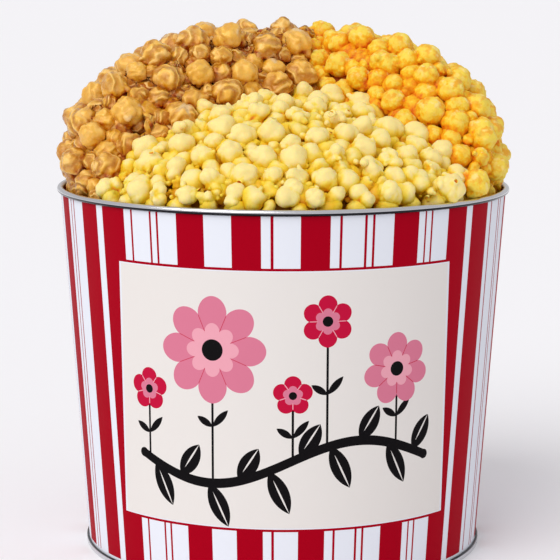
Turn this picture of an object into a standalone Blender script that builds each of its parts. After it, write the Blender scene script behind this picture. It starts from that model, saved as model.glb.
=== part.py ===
"""A tapered round tin heaped with butter, caramel and cheese popcorn.

Metres, +Z up. The origin is the centre of the base, on the surface that the tin stands on. The front faces -Y.
"""
import math
import random
from collections import namedtuple

import bmesh
import bpy
from mathutils import Euler, Matrix, Vector

# The tin's wall: a cone of sheet metal with its top edge rolled into a bead.
TIN_HEIGHT = 0.193
RIM_RADIUS = 0.120
BEAD_RADIUS = 0.0016
BEAD_START = math.radians(235)
BEAD_END = math.radians(-60)
BEAD_STEPS = 6
WALL_TOP_RADIUS = 0.1183
WALL_SLOPE = 0.0693
WALL_FOOT = 0.0011
SHEET = 0.0005

# The tin's base: a panel sunk inside a ring-shaped channel, which the wall's foot is seamed into.
SEAM_RADIUS = 0.1064
SEAM_HEIGHT = 0.0032
SEAM_BEVEL = 0.0004
SEAM_SKIRT = 0.0009
CHANNEL_FLOOR = 0.0007
CHANNEL_INNER = 0.1041
RING_INNER = 0.1034
PANEL_UNDER = 0.0035
PANEL_TOP = 0.0041

# Both are turned in this many steps, with edges sharper than this angle left hard.
TURN_STEPS = 48
SHARP_ANGLE = math.radians(62)

# The heap, measured to the kernels' centres: a dome over a foot just above the rim, a little higher to the right.
# The butter popcorn, at the front, lies in a lower cap, and the dome falls to it over a shoulder that ends a little
# inside the butter.
HEAP_FOOT = TIN_HEIGHT + 0.004
HEAP_RADIUS = 0.114
DOME_HEIGHT = 0.0768
DOME_POWER = 2.25
DOME_LEAN = 0.04
CAP_HEIGHT = 0.043
SHOULDER = 0.028
SHOULDER_LIP = 0.005

# The flavours meet at a point beside the axis, and their borders leave it at these angles from +X, in degrees.
MEETING_POINT = Vector((0.020, 0.0))
BORDERS = {"left": -153.0, "right": -36.0, "back": 108.0}
THIRDS = {
    "butter": ("left", "right"),
    "cheese": ("right", "back"),
    "caramel": ("back", "left"),
}

# The kernels: their smallest and largest radius, and how near two centres may be, as a share of touching.
KERNEL_RADIUS = {"butter": (0.0063, 0.0090), "caramel": (0.0072, 0.0104), "cheese": (0.0068, 0.0094)}
CLOSENESS = 0.77
CANDIDATES = 6000
SCATTER_SEED = 11
KERNEL_SHAPES = 8
KERNEL_LOBES = 5
LOBE_DEPTH = 0.22

# The core under the kernels, and the clearance between neighbours.
CORE_SEGMENTS = 24
CORE_RINGS = 12
GAP = 0.0004

Kernel = namedtuple("Kernel", "flavour centre radius turn squash")


def clear_scene():
    """Empties the scene that the script starts in."""
    for obj in list(bpy.data.objects):
        bpy.data.objects.remove(obj)


def new_collection(name):
    """A collection in the scene."""
    collection = bpy.data.collections.new(name)
    bpy.context.scene.collection.children.link(collection)
    return collection


def make_material(name, colour, roughness, metallic=0.0):
    """A Principled material of one colour."""
    material = bpy.data.materials.new(name)
    material.use_nodes = True
    shader = material.node_tree.nodes["Principled BSDF"]
    shader.inputs["Base Color"].default_value = (*colour, 1.0)
    shader.inputs["Roughness"].default_value = roughness
    shader.inputs["Metallic"].default_value = metallic
    material.diffuse_color = (*colour, 1.0)
    return material


def new_object(name, mesh, collection):
    """An object of this mesh, in the collection."""
    obj = bpy.data.objects.new(name, mesh)
    collection.objects.link(obj)
    return obj


def apply_modifiers(obj):
    """Replaces the object's mesh with what its modifiers make of it."""
    graph = bpy.context.evaluated_depsgraph_get()
    made = bpy.data.meshes.new_from_object(obj.evaluated_get(graph))
    old = obj.data
    obj.modifiers.clear()
    obj.data = made
    bpy.data.meshes.remove(old)


def wall_radius(height):
    """The wall's outer radius at this height."""
    return WALL_TOP_RADIUS - WALL_SLOPE * (TIN_HEIGHT - height)


def turned(name, profile, closed, collection):
    """Turns an outline of (radius, height) points round the Z axis. It runs down the outer side."""
    mesh = bpy.data.meshes.new(name)
    count = len(profile)
    edges = [(i, (i + 1) % count) for i in range(count if closed else count - 1)]
    mesh.from_pydata([(radius, 0.0, height) for radius, height in profile], edges, [])
    obj = new_object(name, mesh, collection)
    screw = obj.modifiers.new("Turn", "SCREW")
    screw.steps = TURN_STEPS
    screw.render_steps = TURN_STEPS
    screw.use_merge_vertices = True
    screw.merge_threshold = 0.00001
    screw.use_smooth_shade = False
    apply_modifiers(obj)
    obj.data.shade_smooth()
    obj.data.set_sharp_from_angle(angle=SHARP_ANGLE)
    return obj


def wall_profile():
    """The outline of the sheet wall and the bead that its top edge is rolled into."""
    centre_radius = RIM_RADIUS - BEAD_RADIUS
    centre_height = TIN_HEIGHT - BEAD_RADIUS
    outline = []
    for i in range(BEAD_STEPS + 1):
        angle = BEAD_START + (BEAD_END - BEAD_START) * i / BEAD_STEPS
        across = BEAD_RADIUS * math.cos(angle)
        up = BEAD_RADIUS * math.sin(angle)
        outline.append((centre_radius + across, centre_height + up))
    for height in (TIN_HEIGHT - 2 * BEAD_RADIUS, WALL_FOOT):
        outline.append((wall_radius(height), height))
    outline.append((wall_radius(WALL_FOOT) - SHEET, WALL_FOOT))
    return outline


def base_profile():
    """The outline of the base: a sunk panel, and round it the seam's channel that holds the wall's foot."""
    return [
        (0.0, PANEL_TOP),
        (CHANNEL_INNER, PANEL_TOP),
        (CHANNEL_INNER, CHANNEL_FLOOR),
        (SEAM_RADIUS - SEAM_SKIRT, CHANNEL_FLOOR),
        (SEAM_RADIUS - SEAM_SKIRT, SEAM_HEIGHT),
        (SEAM_RADIUS, SEAM_HEIGHT),
        (SEAM_RADIUS, SEAM_BEVEL),
        (SEAM_RADIUS - SEAM_BEVEL, 0.0),
        (RING_INNER, 0.0),
        (RING_INNER, PANEL_UNDER),
        (0.0, PANEL_UNDER),
    ]


def smooth(share):
    """An eased step from 0 to 1."""
    share = min(1.0, max(0.0, share))
    return share * share * (3 - 2 * share)


def border_direction(name):
    """The direction in which a border between two flavours leaves the point where the three meet."""
    angle = math.radians(BORDERS[name])
    return Vector((math.cos(angle), math.sin(angle)))


def depth_in_third(flavour, x, y):
    """How far a place, seen from above, lies inside one flavour's third. It is negative outside."""
    first, last = (border_direction(name) for name in THIRDS[flavour])
    way = Vector((x, y)) - MEETING_POINT
    past_first = first.x * way.y - first.y * way.x
    before_last = way.x * last.y - way.y * last.x
    return min(past_first, before_last)


def flavour_at(x, y):
    """The flavour that lies at a place, seen from above."""
    return max(THIRDS, key=lambda flavour: depth_in_third(flavour, x, y))


def heap_height(x, y):
    """Height of the kernels' centres above the heap's foot: a dome behind, and a lower cap at the front."""
    out = min(1.0, math.hypot(x, y) / HEAP_RADIUS)
    dome = DOME_HEIGHT * (1 - out**DOME_POWER) ** (1 / DOME_POWER) * (1 + DOME_LEAN * x / HEAP_RADIUS)
    cap = CAP_HEIGHT * (1 - out**2)
    share = smooth((depth_in_third("butter", x, y) + SHOULDER) / (SHOULDER + SHOULDER_LIP))
    return dome + (cap - dome) * share


def heap_reach(direction):
    """How far the heap reaches from its foot's centre in an upward direction."""
    near, far = 0.0, HEAP_RADIUS * 1.2
    for _ in range(24):
        middle = (near + far) / 2
        point = direction * middle
        if math.hypot(point.x, point.y) < HEAP_RADIUS and point.z < heap_height(point.x, point.y):
            near = middle
        else:
            far = middle
    return near


def spiral_directions(count):
    """Upward directions spread evenly by a golden-angle spiral."""
    golden = math.pi * (3 - math.sqrt(5))
    directions = []
    for i in range(count):
        up = (i + 0.5) / count
        out = math.sqrt(1 - up * up)
        directions.append(Vector((out * math.cos(golden * i), out * math.sin(golden * i), up)))
    return directions


def clear_of_rim(seat, radius):
    """Moves a kernel in towards the axis until it clears the rolled rim."""
    needed = radius + BEAD_RADIUS + GAP
    above = seat.z - (TIN_HEIGHT - BEAD_RADIUS)
    if above >= needed:
        return seat
    most = RIM_RADIUS - BEAD_RADIUS - math.sqrt(needed * needed - above * above)
    out = math.hypot(seat.x, seat.y)
    share = min(1.0, most / out) if out else 1.0
    return Vector((seat.x * share, seat.y * share, seat.z))


def scatter_kernels():
    """The heap's skin: shuffled spots are tried, largest kernel first, and a kernel goes where it has room."""
    draw = random.Random(SCATTER_SEED)
    directions = spiral_directions(CANDIDATES)
    draw.shuffle(directions)
    foot = Vector((0.0, 0.0, HEAP_FOOT))
    kernels = []
    for number, direction in enumerate(directions):
        seat = foot + direction * heap_reach(direction)
        flavour = flavour_at(seat.x, seat.y)
        smallest, largest = KERNEL_RADIUS[flavour]
        radius = largest + (smallest - largest) * number / CANDIDATES
        centre = clear_of_rim(seat, radius)
        turn = Euler([draw.uniform(0, math.tau) for _ in range(3)])
        squash = [draw.uniform(0.88, 1.0) for _ in range(3)]
        if all((centre - other.centre).length > CLOSENESS * (radius + other.radius) for other in kernels):
            kernels.append(Kernel(flavour, centre, radius, turn, squash))
    return kernels


def kernel_mesh(number):
    """A popped kernel of radius 1 with few sides: a ball drawn in between its lobes."""
    draw = random.Random(number)
    lobes = [Vector([draw.gauss(0, 1) for _ in range(3)]).normalized() for _ in range(KERNEL_LOBES)]
    ball = bmesh.new()
    bmesh.ops.create_icosphere(ball, subdivisions=1, radius=1.0)
    for vertex in ball.verts:
        nearest = max(vertex.co.normalized().dot(lobe) for lobe in lobes)
        vertex.co *= 1 - LOBE_DEPTH * (1 - max(0.0, nearest) ** 2)
    mesh = bpy.data.meshes.new(f"kernel_{number}")
    ball.to_mesh(mesh)
    ball.free()
    return mesh


def place_kernel(name, kernel, mesh, grow, collection):
    """A kernel in its place, larger all round by grow."""
    obj = new_object(name, mesh, collection)
    size = kernel.radius + grow
    scale = Matrix.Diagonal([size * share for share in kernel.squash]).to_4x4()
    obj.matrix_world = Matrix.Translation(kernel.centre) @ kernel.turn.to_matrix().to_4x4() @ scale


def tin_inside(direction):
    """How far the packed popcorn reaches from the heap's foot down to the tin's wall or floor."""
    floor = (PANEL_TOP + GAP - HEAP_FOOT) / direction.z
    out = math.hypot(direction.x, direction.y)
    foot_radius = wall_radius(HEAP_FOOT) - SHEET - 2 * GAP
    wall = foot_radius / (out + WALL_SLOPE * -direction.z)
    return min(floor, wall)


def cut_flat(mesh, point, normal):
    """Cuts away what lies on the normal's side of an upright plane, and closes the cut."""
    shape = bmesh.new()
    shape.from_mesh(mesh)
    everything = shape.verts[:] + shape.edges[:] + shape.faces[:]
    cut = bmesh.ops.bisect_plane(shape, geom=everything, plane_co=point, plane_no=normal, clear_outer=True)
    edges = [item for item in cut["geom_cut"] if isinstance(item, bmesh.types.BMEdge)]
    bmesh.ops.contextual_create(shape, geom=edges)
    bmesh.ops.recalc_face_normals(shape, faces=shape.faces[:])
    shape.to_mesh(mesh)
    shape.free()


def core(flavour, grow, collection):
    """One flavour's popcorn from the tin's floor up to the kernels' centres, larger all round by grow."""
    ball = bmesh.new()
    bmesh.ops.create_uvsphere(ball, u_segments=CORE_SEGMENTS, v_segments=CORE_RINGS, radius=1.0)
    for vertex in ball.verts:
        direction = vertex.co.normalized()
        reach = heap_reach(direction) if direction.z > -0.01 else tin_inside(direction)
        vertex.co = Vector((0.0, 0.0, HEAP_FOOT)) + direction * (reach + grow)
    bmesh.ops.triangulate(ball, faces=ball.faces[:], quad_method="FIXED")
    mesh = bpy.data.meshes.new(f"{flavour}_core")
    ball.to_mesh(mesh)
    ball.free()
    first, last = (border_direction(name) for name in THIRDS[flavour])
    for way in (Vector((first.y, -first.x)), Vector((-last.y, last.x))):
        point = MEETING_POINT + way * grow
        cut_flat(mesh, (point.x, point.y, 0.0), (way.x, way.y, 0.0))
    return new_object(f"{flavour}_popcorn", mesh, collection)


def add_boolean(obj, operation, operand):
    """A Boolean modifier with an object, or a collection of them."""
    boolean = obj.modifiers.new(operation.title(), "BOOLEAN")
    boolean.operation = operation
    # The exact solver leaves edges with more than two faces where many kernels cross.
    boolean.solver = "MANIFOLD"
    if isinstance(operand, bpy.types.Collection):
        boolean.operand_type = "COLLECTION"
        boolean.collection = operand
    else:
        boolean.object = operand


def fused_heap(flavour, kernels, meshes, grow, collection):
    """One flavour's core with its kernels fused on, larger all round by grow."""
    obj = core(flavour, grow, collection)
    skin = new_collection(f"{flavour}_kernels")
    for number, kernel in enumerate(kernels):
        if kernel.flavour == flavour:
            place_kernel(f"{flavour}_{number}", kernel, meshes[number % KERNEL_SHAPES], grow, skin)
    bpy.context.view_layer.update()
    add_boolean(obj, "UNION", skin)
    apply_modifiers(obj)
    for placed in list(skin.objects):
        bpy.data.objects.remove(placed)
    bpy.data.collections.remove(skin)
    keep_one_shell(obj)
    return obj


def islands(shape):
    """The connected groups of faces of a bmesh."""
    left = set(shape.faces)
    groups = []
    while left:
        queue = [left.pop()]
        group = list(queue)
        while queue:
            for edge in queue.pop().edges:
                for face in edge.link_faces:
                    if face in left:
                        left.remove(face)
                        queue.append(face)
                        group.append(face)
        groups.append(group)
    return groups


def keep_one_shell(obj):
    """Drops loose scraps, and fills sealed hollows, by keeping only the outer shell."""
    shape = bmesh.new()
    shape.from_mesh(obj.data)
    groups = sorted(islands(shape), key=lambda group: sum(face.calc_area() for face in group))
    scraps = [face for group in groups[:-1] for face in group]
    if scraps:
        bmesh.ops.delete(shape, geom=scraps, context="FACES")
    shape.to_mesh(obj.data)
    shape.free()


def carve(obj, cutters):
    """Cuts the flavours that lie in front out of this one."""
    for cutter in cutters:
        add_boolean(obj, "DIFFERENCE", cutter)
        apply_modifiers(obj)


def build_tin(parts):
    """The wall and the base."""
    wall = turned("tin_body", wall_profile(), True, parts)
    wall.data.materials.append(make_material("printed_tin", (0.56, 0.01, 0.03), 0.3))
    base = turned("tin_base", base_profile(), False, parts)
    base.data.materials.append(make_material("bare_tin", (0.62, 0.62, 0.63), 0.25, 1.0))


def build_heap(parts):
    """The three flavours. Each gives way to those before it, which are cut out of it with a clearance."""
    materials = {
        "butter": make_material("butter_popcorn", (0.90, 0.70, 0.22), 0.6),
        "caramel": make_material("caramel_popcorn", (0.50, 0.21, 0.03), 0.3),
        "cheese": make_material("cheese_popcorn", (0.88, 0.42, 0.02), 0.7),
    }
    cutters = new_collection("clearances")
    kernels = scatter_kernels()
    meshes = [kernel_mesh(number) for number in range(KERNEL_SHAPES)]
    for flavour, material in materials.items():
        heap = fused_heap(flavour, kernels, meshes, 0.0, parts)
        carve(heap, cutters.objects)
        keep_one_shell(heap)
        heap.data.materials.clear()
        heap.data.materials.append(material)
        fused_heap(flavour, kernels, meshes, GAP, cutters)
    for cutter in list(cutters.objects):
        bpy.data.objects.remove(cutter)
    bpy.data.collections.remove(cutters)


clear_scene()
bucket = new_collection("bucket_of_popcorn")
build_tin(bucket)
build_heap(bucket)
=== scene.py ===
# %% [markdown]
# # A tin heaped with three kinds of popcorn
# The imported model is loaded first. It is the frame: every new piece goes where its solids say, in metres,
# with the origin at the centre of the tin's base and the label facing -Y. The solids are plain and have few
# sides, so each is replaced here by a finely shaped piece of the same form. The box around the solids is kept.

# %% Load the frame
import math
import random
from collections import namedtuple

import bpy
import numpy as np
from mathutils import Euler, Matrix, Vector


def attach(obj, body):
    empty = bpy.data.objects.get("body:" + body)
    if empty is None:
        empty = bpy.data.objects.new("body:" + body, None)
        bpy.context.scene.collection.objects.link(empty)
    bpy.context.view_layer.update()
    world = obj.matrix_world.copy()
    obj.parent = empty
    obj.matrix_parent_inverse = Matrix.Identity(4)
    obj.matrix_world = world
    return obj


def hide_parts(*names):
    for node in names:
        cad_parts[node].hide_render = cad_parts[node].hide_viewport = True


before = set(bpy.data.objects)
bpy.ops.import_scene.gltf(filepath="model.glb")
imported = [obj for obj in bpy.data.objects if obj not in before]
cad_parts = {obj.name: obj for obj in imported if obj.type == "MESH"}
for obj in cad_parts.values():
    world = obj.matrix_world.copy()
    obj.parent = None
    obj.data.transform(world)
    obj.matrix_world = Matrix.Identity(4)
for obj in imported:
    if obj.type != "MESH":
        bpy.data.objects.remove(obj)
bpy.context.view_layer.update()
print("solids:", sorted(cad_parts))


# %% [markdown]
# ## The camera
# A picture like the photo's needs the same place and the same lens. The rim and the base are circles of known
# size, and how flat their ellipses look gives the camera's height: it stands about a metre away, a little above
# the rim, and looks nine degrees down through a long lens. A long lens keeps the tin's sides nearly straight.

# %% Camera
CAMERA_PLACE = Vector((0.0, -1.099, 0.3139))
CAMERA_PITCH = math.radians(-8.962)
CAMERA_TURN = math.radians(0.083)
CAMERA_ROLL = math.radians(0.13)
CAMERA_LENS_MM = 133.08
SENSOR_MM = 36.0


def linked(name, data):
    """An object for this data, linked into the scene."""
    obj = bpy.data.objects.new(name, data)
    bpy.context.scene.collection.objects.link(obj)
    return obj


camera_data = bpy.data.cameras.new("photo_camera")
camera_data.lens = CAMERA_LENS_MM
camera_data.sensor_width = SENSOR_MM
camera = linked("photo_camera", camera_data)
level = Euler((math.radians(90) + CAMERA_PITCH, 0.0, CAMERA_TURN)).to_matrix()
camera.matrix_world = Matrix.Translation(CAMERA_PLACE) @ (level @ Matrix.Rotation(CAMERA_ROLL, 3, "Z")).to_4x4()
bpy.context.scene.camera = camera
print("camera to tin:", round(CAMERA_PLACE.length, 3), "m")


# %% [markdown]
# ## Small tools
# Operators act on whatever is selected, so each step first selects its own object and nothing else. These
# few helpers do that, apply modifiers, and leave a finished piece's object at the origin with its place in its
# mesh, where a pattern on Object coordinates stays put.

# %% Helpers for shaping
SMOOTH_BELOW = math.radians(40)


def only(*objects):
    """Selects these objects and nothing else, with the first one active."""
    bpy.ops.object.select_all(action="DESELECT")
    for obj in objects:
        obj.select_set(True)
    bpy.context.view_layer.objects.active = objects[0]


def added(name):
    """The object that an operator has just added, under a new name and alone in the selection."""
    obj = bpy.context.object
    obj.name = name
    only(obj)
    return obj


def apply_modifier(obj, kind, **settings):
    """Adds a modifier with these settings, and applies it."""
    only(obj)
    modifier = obj.modifiers.new(kind.title(), kind)
    for setting, value in settings.items():
        setattr(modifier, setting, value)
    bpy.ops.object.modifier_apply(modifier=modifier.name)


def settle(obj):
    """Puts the object's place, turn and scale into its mesh."""
    only(obj)
    bpy.ops.object.transform_apply(location=True, rotation=True, scale=True)


def join(objects, name):
    """Joins several mesh objects into one."""
    only(*objects)
    bpy.ops.object.join()
    return added(name)


def pick_faces(obj, wanted):
    """In edit mode, selects the faces whose centre and normal pass the test, and nothing else."""
    bpy.ops.object.mode_set(mode="EDIT")
    bpy.ops.mesh.select_mode(type="FACE")
    bpy.ops.mesh.select_all(action="DESELECT")
    bpy.ops.object.mode_set(mode="OBJECT")
    for polygon in obj.data.polygons:
        polygon.select = wanted(polygon.center, polygon.normal)
    bpy.ops.object.mode_set(mode="EDIT")


# %% [markdown]
# ## Small tools for materials
# A material here is a Principled shader fed by a few patterns. Sums on coordinates are Math nodes, so a short
# helper makes one and joins its inputs, whether they are numbers or other nodes' results.

# %% Helpers for materials
class Pattern:
    """A material's node tree, with short ways to add nodes to it."""

    def __init__(self, name):
        self.material = bpy.data.materials.new(name)
        self.material.use_nodes = True
        self.tree = self.material.node_tree
        self.shader = self.tree.nodes["Principled BSDF"]
        self.coordinates = self.tree.nodes.new("ShaderNodeTexCoord").outputs["Object"]

    def node(self, kind, inputs=None, **settings):
        made = self.tree.nodes.new(kind)
        for setting, value in settings.items():
            setattr(made, setting, value)
        for socket, value in (inputs or {}).items():
            self.feed(made.inputs[socket], value)
        return made

    def feed(self, socket, value):
        if isinstance(value, bpy.types.NodeSocket):
            self.tree.links.new(value, socket)
        else:
            socket.default_value = value

    def set(self, **settings):
        """Feeds the shader's sockets. An underscore in a setting's name stands for a space."""
        for socket, value in settings.items():
            self.feed(self.shader.inputs[socket.replace("_", " ")], value)

    def sum(self, operation, *values):
        return self.node("ShaderNodeMath", dict(enumerate(values)), operation=operation).outputs[0]

    def blend(self, share, low, high):
        made = self.node("ShaderNodeMix", data_type="RGBA")
        self.feed(made.inputs["Factor"], share)
        self.feed(made.inputs["A"], low)
        self.feed(made.inputs["B"], high)
        return made.outputs["Result"]

    def ramp(self, share, stops):
        made = self.node("ShaderNodeValToRGB", {"Fac": share})
        elements = made.color_ramp.elements
        while len(elements) < len(stops):
            elements.new(1.0)
        for element, (position, colour) in zip(elements, stops):
            element.position = position
            element.color = colour
        return made.outputs["Color"]

    def step(self, share, start, end, low=0.0, high=1.0):
        """Goes from low to high between two values of the share."""
        return self.ramp(share, [(start, (low, low, low, 1.0)), (end, (high, high, high, 1.0))])

    def spread(self, value, start, end, top=1.0, **settings):
        """0 where a value is at the start, rising to top where it is at the end."""
        inputs = {"Value": value, "From Min": start, "From Max": end, "To Max": top}
        return self.node("ShaderNodeMapRange", inputs, **settings).outputs["Result"]

    def noise(self, scale, detail=3.0, roughness=0.5):
        inputs = {"Vector": self.coordinates, "Scale": scale, "Detail": detail, "Roughness": roughness}
        return self.node("ShaderNodeTexNoise", inputs).outputs["Fac"]

    def attribute(self, name, output="Fac"):
        return self.node("ShaderNodeAttribute", attribute_name=name).outputs[output]

    def bump(self, height, distance):
        inputs = {"Height": height, "Distance": distance, "Strength": 1.0}
        self.set(Normal=self.node("ShaderNodeBump", inputs).outputs["Normal"])


def colour(code):
    """A colour from its web code, in the linear light that shaders use."""
    parts = [int(code[i:i + 2], 16) / 255 for i in (1, 3, 5)]
    linear = [part / 12.92 if part <= 0.04045 else ((part + 0.055) / 1.055) ** 2.4 for part in parts]
    return (*linear, 1.0)


# %% [markdown]
# ## The tin's wall
# The wall of such a tin is one sheet of printed tinplate, rolled into a cone. A cone primitive with open ends
# and many sides is that sheet's outer face, and Solidify gives it its half millimetre inwards. The sides are
# many because the rim is seen against the light, where a corner would show.

# %% Wall
TIN_HEIGHT = 0.193
RIM_RADIUS = 0.120
BEAD_RADIUS = 0.0016
WALL_TOP_RADIUS = 0.1183
WALL_SLOPE = 0.0693
WALL_FOOT = 0.0011
SHEET = 0.0005
ROUND_STEPS = 256


def wall_radius(height):
    """The wall's outer radius at this height."""
    return WALL_TOP_RADIUS - WALL_SLOPE * (TIN_HEIGHT - height)


wall_top = TIN_HEIGHT - BEAD_RADIUS
bpy.ops.mesh.primitive_cone_add(
    vertices=ROUND_STEPS, radius1=wall_radius(WALL_FOOT), radius2=wall_radius(wall_top),
    depth=wall_top - WALL_FOOT, end_fill_type="NOTHING", location=(0, 0, (wall_top + WALL_FOOT) / 2))
tin_wall = added("tin_wall")
settle(tin_wall)
apply_modifier(tin_wall, "SOLIDIFY", thickness=SHEET, offset=-1.0, material_offset=1, material_offset_rim=1)
bpy.ops.object.shade_smooth_by_angle(angle=SMOOTH_BELOW)
print("wall:", len(tin_wall.data.polygons), "faces")


# %% [markdown]
# ## The rolled rim
# The sheet's top edge is rolled outwards into a bead, which is smooth to the hand and stiffens the mouth. It
# is a torus, a little wider than the wall on both sides, and it is bare metal, so it is a piece of its own.

# %% Rim bead
bpy.ops.mesh.primitive_torus_add(
    major_segments=ROUND_STEPS, minor_segments=20, major_radius=RIM_RADIUS - BEAD_RADIUS,
    minor_radius=BEAD_RADIUS, location=(0, 0, TIN_HEIGHT - BEAD_RADIUS))
rim_bead = added("rim_bead")
settle(rim_bead)
bpy.ops.object.shade_smooth()
print("rim:", round(rim_bead.dimensions.x * 1000, 1), "mm across")


# %% [markdown]
# ## The base
# The base is pressed from one disc. Its edge is folded round the wall's foot, which makes the ring that the tin
# stands on, and the panel inside it is sunk. It starts as a disc as high as the ring. Insets mark out the channel
# for the wall and the panel, and extrusions sink them. A fine bevel takes the sharpness off the folds.

# %% Base
SEAM_RADIUS = 0.1064
SEAM_HEIGHT = 0.0032
SEAM_SKIRT = 0.0009
CHANNEL_WIDTH = 0.0014
CHANNEL_DEPTH = 0.0025
PANEL_TOP = 0.0041
RING_WIDTH = 0.0030
PANEL_UNDER = 0.0035
FOLD_BEVEL = 0.0002


def step_face(inset, rise):
    """Insets the selected face, and extrudes what is inside up or down."""
    bpy.ops.mesh.inset(thickness=inset, depth=0)
    bpy.ops.mesh.extrude_region_move(TRANSFORM_OT_translate={"value": (0, 0, rise)})


bpy.ops.mesh.primitive_cylinder_add(
    vertices=ROUND_STEPS, radius=SEAM_RADIUS, depth=SEAM_HEIGHT, location=(0, 0, SEAM_HEIGHT / 2))
base_seam = added("base_seam")
settle(base_seam)
pick_faces(base_seam, lambda centre, normal: normal.z > 0.9)
step_face(SEAM_SKIRT, -CHANNEL_DEPTH)
step_face(CHANNEL_WIDTH, PANEL_TOP - SEAM_HEIGHT + CHANNEL_DEPTH)
bpy.ops.object.mode_set(mode="OBJECT")
pick_faces(base_seam, lambda centre, normal: normal.z < -0.9 and centre.z < 0.0001)
step_face(RING_WIDTH, PANEL_UNDER)
bpy.ops.object.mode_set(mode="OBJECT")
apply_modifier(base_seam, "BEVEL", width=FOLD_BEVEL, segments=2, limit_method="ANGLE")
bpy.ops.object.shade_smooth_by_angle(angle=SMOOTH_BELOW)
print("base:", len(base_seam.data.polygons), "faces")


# %% [markdown]
# ## Bare tinplate
# The rim and the base seam are unprinted steel with a thin coat of tin. It mirrors the room softly: a metal with
# a low roughness, and a faint noise where rolling has dulled it. At the lower half of the bead and the upper fold of
# the seam, where the sheet turns under, the colour is painted dark: painted shade and a painted dark reflection.
# A soft step over the height puts that line in.

# %% Bare metal
METAL_BRIGHT = colour("#D4D4D8")
# Painted shade and dark reflection for the turned-under edges of the sheet.
SHADE_AND_REFLECTION_DARK = colour("#26262A")
LINE_SOFTNESS = 0.0002
RIM_LINE_DROP = 0.0001
SEAM_LINE_DROP = 0.0008
PAST_EDGE = 0.001


def tinplate(name, bright_from, bright_to):
    """Bare metal that is bright between two heights, and painted dark beyond them as painted shade and dark
    reflection.
    """
    metal = Pattern(name)
    height = metal.node("ShaderNodeSeparateXYZ", {"Vector": metal.coordinates}).outputs["Z"]
    middle, reach = (bright_from + bright_to) / 2, (bright_to - bright_from) / 2
    beyond = metal.sum("SUBTRACT", metal.sum("ABSOLUTE", metal.sum("SUBTRACT", height, middle)), reach)
    # Painted shade: 1 beyond the bright heights, with a soft edge.
    painted_shade_band = metal.spread(beyond, -LINE_SOFTNESS, LINE_SOFTNESS, interpolation_type="SMOOTHSTEP")
    metal.set(Base_Color=metal.blend(painted_shade_band, METAL_BRIGHT, SHADE_AND_REFLECTION_DARK), Metallic=1.0,
              Roughness=metal.sum("MULTIPLY_ADD", metal.noise(scale=90.0), 0.16, 0.16))
    return metal.material


rim_bead.data.materials.append(tinplate("bare_rim", TIN_HEIGHT - BEAD_RADIUS - RIM_LINE_DROP, TIN_HEIGHT + PAST_EDGE))
base_seam.data.materials.append(tinplate("bare_seam", -PAST_EDGE, SEAM_HEIGHT - SEAM_LINE_DROP))


# %% [markdown]
# ## The print
# Red and white stripes of several widths run up the wall, with a cream label at the front. The print could be
# painted on an image, but sums on the coordinates stay sharp at any size. A stripe is where the angle round the
# tin lies between its two edges, and one run of stripes repeats until it is cut off at the plain side seam behind.
# The angle times the radius is the distance round the wall, and with the height it makes flat coordinates for
# the label.

# %% Coordinates on the wall
LABEL_TOP = 0.1637
LABEL_BOTTOM = 0.0318
LABEL_CENTRE = 0.0010
LABEL_HALF_WIDTH = 0.0910
LABEL_LINE = 0.0013
LABEL_EDGE = 0.0012
PRINT_TOP = 0.1898
PRINT_BOTTOM = 0.0044
SIDE_SEAM_DEGREES = 179.0

# One run of stripes, from its first edge, in degrees round the tin. Each pair is where the red starts and ends.
STRIPE_RUN = 103.43
STRIPE_START = -59.52
STRIPES = (
    (0.0, 7.14), (9.67, 17.76), (19.98, 20.55), (25.79, 26.35), (27.77, 28.35),
    (33.39, 40.48), (47.28, 54.35), (56.58, 57.29), (63.67, 70.72),
    (72.97, 73.60), (79.11, 79.75), (81.11, 81.73), (86.75, 93.84), (95.68, 96.16), (97.63, 98.16),
)

wrap = Pattern("printed_tinplate")
axes = wrap.node("ShaderNodeSeparateXYZ", {"Vector": wrap.coordinates}).outputs
turn = wrap.sum("ARCTAN2", axes["X"], wrap.sum("MULTIPLY", axes["Y"], -1.0))
degrees = wrap.sum("DEGREES", turn)
radius = wrap.sum("MULTIPLY_ADD", axes["Z"], WALL_SLOPE, wall_radius(0.0))
across = wrap.sum("SUBTRACT", wrap.sum("MULTIPLY", turn, radius), LABEL_CENTRE)
up = axes["Z"]
print("stripes in a run:", len(STRIPES))


# %% Stripes
def within(value, middle, reach):
    """1 where a value is nearer to the middle than reach."""
    return wrap.sum("LESS_THAN", wrap.sum("ABSOLUTE", wrap.sum("SUBTRACT", value, middle)), reach)


def both(first, second):
    return wrap.sum("MULTIPLY", first, second)


PRINT_RED = colour("#A4001A")
PRINT_WHITE = colour("#E5E8F1")

runs = wrap.sum("DIVIDE", wrap.sum("SUBTRACT", degrees, STRIPE_START), STRIPE_RUN)
in_run = wrap.sum("MULTIPLY", wrap.sum("FRACT", runs), STRIPE_RUN)
red = 0.0
for start, end in STRIPES:
    red = wrap.sum("MAXIMUM", red, within(in_run, (start + end) / 2, (end - start) / 2))
printed = wrap.blend(red, PRINT_WHITE, PRINT_RED)
plain = wrap.sum("MAXIMUM", wrap.sum("GREATER_THAN", up, PRINT_TOP), wrap.sum("LESS_THAN", up, PRINT_BOTTOM))
plain = wrap.sum("MAXIMUM", plain, wrap.sum("GREATER_THAN", wrap.sum("ABSOLUTE", degrees), SIDE_SEAM_DEGREES))
printed = wrap.blend(plain, printed, PRINT_WHITE)


# %% [markdown]
# ## The label
# The label is a cream field with a fine white edge and a thin red line along its top and bottom. Its picture is
# a spray of flowers: bold black leaves along a bending stem, a large pink flower and smaller crimson ones on thin
# stalks. Each motif is a mask, 1 inside it and 0 outside, and the colours are laid over each other as in printing.
# A flower's edge is a circle whose radius falls in to a notch between the petals, a leaf is where two circles
# overlap, and a stem is the ground near a curve.

# %% Masks for the label
PETAL_ROUNDING = 0.7
PETAL_LINE = 0.0006


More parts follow.
